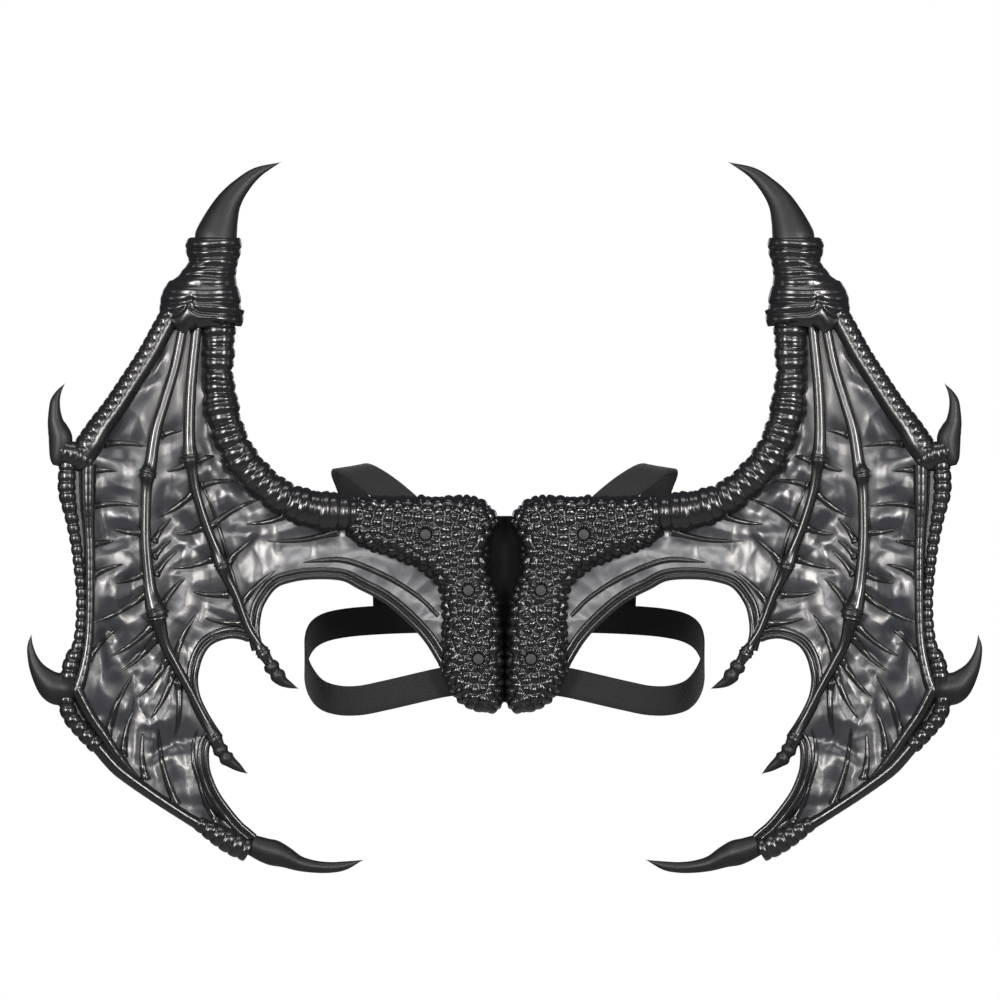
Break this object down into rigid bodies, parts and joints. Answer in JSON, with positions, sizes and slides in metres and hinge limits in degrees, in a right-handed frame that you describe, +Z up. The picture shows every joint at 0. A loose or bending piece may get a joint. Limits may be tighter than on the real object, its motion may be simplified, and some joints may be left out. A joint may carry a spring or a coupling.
{
  "type": "costume dragon wings",
  "caption": "Moulded foam costume dragon wings with ringed bones, claws and scaled pads, riveted to a back plate on a webbing shoulder harness.",
  "frame": {"origin": "centre of the back plate's face that lies against the wearer's back", "axes": "+X towards the wearer's right, +Y forwards, through the wearer, +Z up"},
  "size_m": [0.7596, 0.2978, 0.5699],
  "materials": {
    "bone_foam": "satin black foam skin",
    "claw_foam": "smooth satin foam skin",
    "pad_foam": "pebbled gloss black",
    "skin_foam": "crumpled gloss, blue-black",
    "plate_board": "matte black",
    "webbing": "matte black woven webbing",
    "rivet_cap": "dark grey"
  },
  "bodies": {
    "root": {"left_scale_pad": "pad_foam", "left_upper_arm": "bone_foam", "left_wrist": "bone_foam", "left_thumb_claw": "claw_foam", "left_outer_finger_upper": "bone_foam", "left_upper_spur_claw": "claw_foam", "left_outer_finger_middle": "bone_foam", "left_lower_spur_claw": "claw_foam", "left_outer_finger_lower": "bone_foam", "left_tip_claw": "claw_foam", "left_middle_finger": "bone_foam", "left_middle_claw": "claw_foam", "left_inner_finger": "bone_foam", "left_inner_claw": "claw_foam", "left_membrane": "skin_foam", "left_rivet_1": "rivet_cap", "left_rivet_2": "rivet_cap", "left_rivet_3": "rivet_cap", "right_scale_pad": "pad_foam", "right_upper_arm": "bone_foam", "right_wrist": "bone_foam", "right_thumb_claw": "claw_foam", "right_outer_finger_upper": "bone_foam", "right_upper_spur_claw": "claw_foam", "right_outer_finger_middle": "bone_foam", "right_lower_spur_claw": "claw_foam", "right_outer_finger_lower": "bone_foam", "right_tip_claw": "claw_foam", "right_middle_finger": "bone_foam", "right_middle_claw": "claw_foam", "right_inner_finger": "bone_foam", "right_inner_claw": "claw_foam", "right_membrane": "skin_foam", "right_rivet_1": "rivet_cap", "right_rivet_2": "rivet_cap", "right_rivet_3": "rivet_cap", "back_plate": "plate_board", "chest_band": "webbing", "left_shoulder_strap": "webbing", "right_shoulder_strap": "webbing"}
  },
  "joints": []
}
